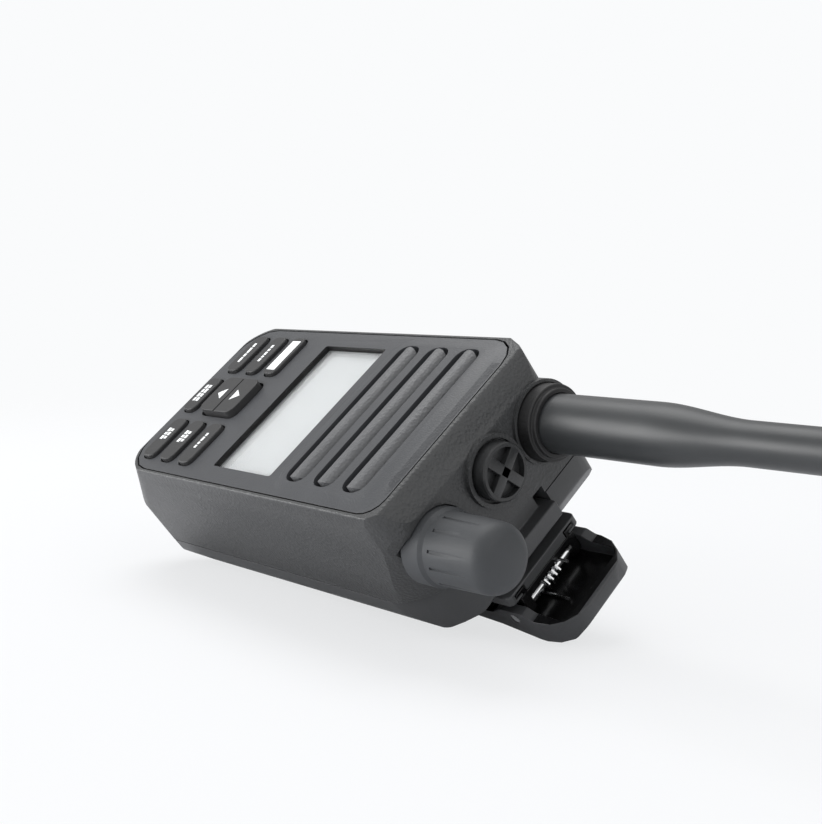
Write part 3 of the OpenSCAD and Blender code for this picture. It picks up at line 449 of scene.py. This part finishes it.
def jack_cap():
    """Screw cap: plain rim, four sunk pockets between the arms of a raised cross."""
    low, high = corners("jack_cap")
    socket_low, socket_high = corners("jack_socket")
    mid = centre("jack_cap")
    radius = (high.x - low.x) / 2
    plug = (socket_high.x - socket_low.x) / 2 - CAP_PLUG_IN
    inner = radius - CAP_WALL
    floor_y = high.y - CAP_POCKET
    head_y = high.y - CAP_HEAD
    rim_y = high.y - CAP_ARM_PROUD
    profile = [(0, low.y), (plug - 0.3, low.y), (plug, low.y + 0.3), (plug, head_y), (radius - 0.2, head_y),
               (radius, head_y + 0.2), (radius, rim_y - 0.3), (radius - 0.3, rim_y),
               (inner, rim_y), (inner, floor_y), (0, floor_y)]
    place(lathe_y("jack_cap_body", profile, mid, "cap"), "jack_cap")
    arm_size = Vector((2 * inner + ARM_OVERLAP, CAP_POCKET + ARM_OVERLAP, CAP_ARM))
    arm_middle = Vector((mid.x, (high.y - arm_size.y / 2) * MM, mid.z))
    bm = bmesh.new()
    for turn in CAP_ARM_TURNS:
        arm = bmesh.ops.create_cube(bm, size=1)["verts"]
        bmesh.ops.scale(bm, vec=arm_size * MM, verts=arm)
        bmesh.ops.rotate(bm, cent=(0, 0, 0), matrix=Matrix.Rotation(radians(turn), 3, "Y"), verts=arm)
        bmesh.ops.translate(bm, vec=arm_middle, verts=arm)
    bmesh.ops.bevel(bm, geom=bm.edges[:], offset=CAP_ARM_ROUND * MM, segments=2, profile=0.5,
                    affect="EDGES", material=-1)
    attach(make_object("jack_cap_cross", bm, "cap"), body_of("jack_cap"))


# ---------------------------------------------------------------- clip, talk key

TRAY_SIDE = 2.2   # wall of the thumb tray at its sides, with its rounding
TRAY_END = 2.4    # the same at its end


def clip():
    # painted light: the lever's outside gets a lighter grey for the light on its rim
    lever = rounded_copy("clip_lever", "clip_rim_painted_light", 0.7, 4)
    end = corners("clip_lever")[1]
    # the inside of the thumb tray and the side towards the pack are polished
    second_finish(lever, "clip", lambda at, normal: normal.z > 0.3
                  and abs(at.x) < end.x - TRAY_SIDE and at.y < end.y - TRAY_END)
    rounded_copy("clip_bracket", "clip", 0.2, 2)
    dress("clip_pin", "wire")
    dress("clip_spring", "wire")
    dress("bracket_screw", "steel")
    dress("latch_spring", "wire")


def talk_key():
    rounded_copy("ptt_button", "keys", 0.4, 3)


def inner_pieces():
    finishes = {
        "keypad_board": "board", "keypad_mat": "rubber_and_painted_shade", "speaker_membrane": "inner", "speaker": "alloy",
        "microphone": "alloy", "main_board": "board", "shield_can": "alloy", "chassis": "alloy",
        "case_seal": "rubber_and_painted_shade", "rear_cover": "inner", "case_screws": "steel", "antenna_connector": "brass",
        "antenna_ferrule": "brass", "jack_socket": "inner", "jack_cap_seal": "rubber_and_painted_shade",
        "volume_encoder": "alloy", "knob_shaft": "steel", "knob_seal": "rubber_and_painted_shade", "ptt_switch": "inner",
        "battery_lid": "inner", "battery_cells": "wrap", "battery_contacts": "brass",
    }
    for node, finish in finishes.items():
        dress(node, finish)


# ---------------------------------------------------------------- floor, light, camera

# the radio leans on its pack's near edge and the near corner of its clip
FLOOR_POINT = Vector((24.8, 12, -21.5)) * MM
FLOOR_UP = Vector((-0.62, 0.03, 0.784)).normalized()
FLOOR_GAP = 0.3 * MM
FLOOR_HALF = 2.5      # half its side, in metres
CAMERA_AT = Vector((123.242, 320.48, 154.898)) * MM
CAMERA_AIM = Vector((-18.988, 72.663, 0.0)) * MM
CAMERA_ROLL = radians(-33.404)
FOCAL_PX = 1300
FRAME_PX = 824
SENSOR_MM = 36
BACKDROP = "#fafbfc"
FILL = 0.62           # strength of the even light from all round
LAMP_AIM = Vector((0, 70, 0))
OVERHEAD_MM = 900


def pale_surface(name, hex_colour, glow_share, near_mm, far_mm):
    """Brightly lit matt paper; it gives way to the white backdrop with distance, so no horizon shows."""
    mat, tree = new_material(name)
    coords = add(tree, "ShaderNodeTexCoord").outputs["Object"]
    away = add(tree, "ShaderNodeVectorMath", {"operation": "LENGTH"})
    tree.links.new(coords, away.inputs[0])
    fade = add(tree, "ShaderNodeMapRange", {"From Min": near_mm * MM, "From Max": far_mm * MM,
                                            "interpolation_type": "SMOOTHSTEP"}, Value=away.outputs["Value"])
    matt = add(tree, "ShaderNodeBsdfDiffuse", {"Color": linear(hex_colour)})
    glow = add(tree, "ShaderNodeEmission", {"Color": linear(BACKDROP), "Strength": 1.0})
    ray = add(tree, "ShaderNodeLightPath")
    share = add(tree, "ShaderNodeMath", {"operation": "MULTIPLY"})
    tree.links.new(ray.outputs["Is Camera Ray"], share.inputs[0])
    share.inputs[1].default_value = glow_share
    lit = add(tree, "ShaderNodeMixShader")
    tree.links.new(share.outputs["Value"], lit.inputs["Fac"])
    tree.links.new(matt.outputs["BSDF"], lit.inputs[1])
    tree.links.new(glow.outputs["Emission"], lit.inputs[2])
    # the slanting paper is one-sided, so it hides nothing in a view from under it
    under = add(tree, "ShaderNodeMath", {"operation": "MULTIPLY"})
    tree.links.new(add(tree, "ShaderNodeNewGeometry").outputs["Backfacing"], under.inputs[0])
    tree.links.new(ray.outputs["Is Camera Ray"], under.inputs[1])
    gone = add(tree, "ShaderNodeMath", {"operation": "MAXIMUM"})
    tree.links.new(fade.outputs["Result"], gone.inputs[0])
    tree.links.new(under.outputs["Value"], gone.inputs[1])
    clear = add(tree, "ShaderNodeBsdfTransparent")
    mix = add(tree, "ShaderNodeMixShader")
    tree.links.new(gone.outputs["Value"], mix.inputs["Fac"])
    tree.links.new(lit.outputs["Shader"], mix.inputs[1])
    tree.links.new(clear.outputs["BSDF"], mix.inputs[2])
    out = add(tree, "ShaderNodeOutputMaterial")
    tree.links.new(mix.outputs["Shader"], out.inputs["Surface"])
    return mat


def floor():
    bm = bmesh.new()
    turn = FLOOR_UP.to_track_quat("Z", "Y").to_matrix().to_4x4()
    bmesh.ops.create_grid(bm, x_segments=1, y_segments=1, size=FLOOR_HALF,
                          matrix=Matrix.Translation(FLOOR_POINT - FLOOR_UP * FLOOR_GAP) @ turn)
    mesh = bpy.data.meshes.new("paper_floor")
    bm.to_mesh(mesh)
    bm.free()
    obj = bpy.data.objects.new("paper_floor", mesh)
    SCENE.collection.objects.link(obj)
    mesh.materials.append(pale_surface("paper sweep", "#e9eaed", glow_share=0.72, near_mm=160, far_mm=420))


def lamp(name, at_mm, size_m, power):
    data = bpy.data.lights.new(name, "AREA")
    data.shape = "RECTANGLE"
    data.size = size_m[0]
    data.size_y = size_m[1]
    data.energy = power
    obj = bpy.data.objects.new(name, data)
    obj.location = at_mm * MM
    obj.rotation_euler = (LAMP_AIM * MM - obj.location).to_track_quat("-Z", "Y").to_euler()
    SCENE.collection.objects.link(obj)


def lights():
    over = LAMP_AIM + FLOOR_UP * OVERHEAD_MM + Vector((-150, -350, 0))
    lamp("overhead softbox", over, (0.8, 0.8), 6)
    lamp("near side softbox", Vector((430, -330, 400)), (0.7, 0.5), 6.5)
    lamp("top end softbox", Vector((-250, 650, 250)), (0.6, 0.6), 0.9)
    world = bpy.data.worlds.new("studio")
    SCENE.world = world
    world.use_nodes = True
    tree = world.node_tree
    tree.nodes.clear()
    ray = add(tree, "ShaderNodeLightPath")
    fill = add(tree, "ShaderNodeBackground", {"Color": linear("#ffffff"), "Strength": FILL})
    white = add(tree, "ShaderNodeBackground", {"Color": linear(BACKDROP), "Strength": 1.0})
    seen = add(tree, "ShaderNodeMath", {"operation": "MAXIMUM"})
    tree.links.new(ray.outputs["Is Camera Ray"], seen.inputs[0])
    tree.links.new(ray.outputs["Is Transmission Ray"], seen.inputs[1])
    mix = add(tree, "ShaderNodeMixShader")
    tree.links.new(seen.outputs["Value"], mix.inputs["Fac"])
    tree.links.new(fill.outputs["Background"], mix.inputs[1])
    tree.links.new(white.outputs["Background"], mix.inputs[2])
    out = add(tree, "ShaderNodeOutputWorld")
    tree.links.new(mix.outputs["Shader"], out.inputs["Surface"])


def camera():
    data = bpy.data.cameras.new("camera")
    data.sensor_fit = "AUTO"
    data.sensor_width = SENSOR_MM
    data.lens = SENSOR_MM * FOCAL_PX / FRAME_PX
    data.clip_start = 0.01
    obj = bpy.data.objects.new("camera", data)
    forward = (CAMERA_AIM - CAMERA_AT).normalized()
    right = forward.cross(Z).normalized()
    up = right.cross(forward)
    rolled = right * cos(CAMERA_ROLL) + up * sin(CAMERA_ROLL)
    upward = rolled.cross(forward)
    turn = Matrix((rolled, upward, -forward)).transposed().to_4x4()
    obj.matrix_world = Matrix.Translation(CAMERA_AT) @ turn
    SCENE.collection.objects.link(obj)
    SCENE.camera = obj


camera()
floor()
lights()
SCENE.view_settings.view_transform = "Standard"
case_pieces()
keys()
key_marks()
speaker_bars()
inner_pieces()
display()
antenna()
knob()
jack_cap()
clip()
talk_key()
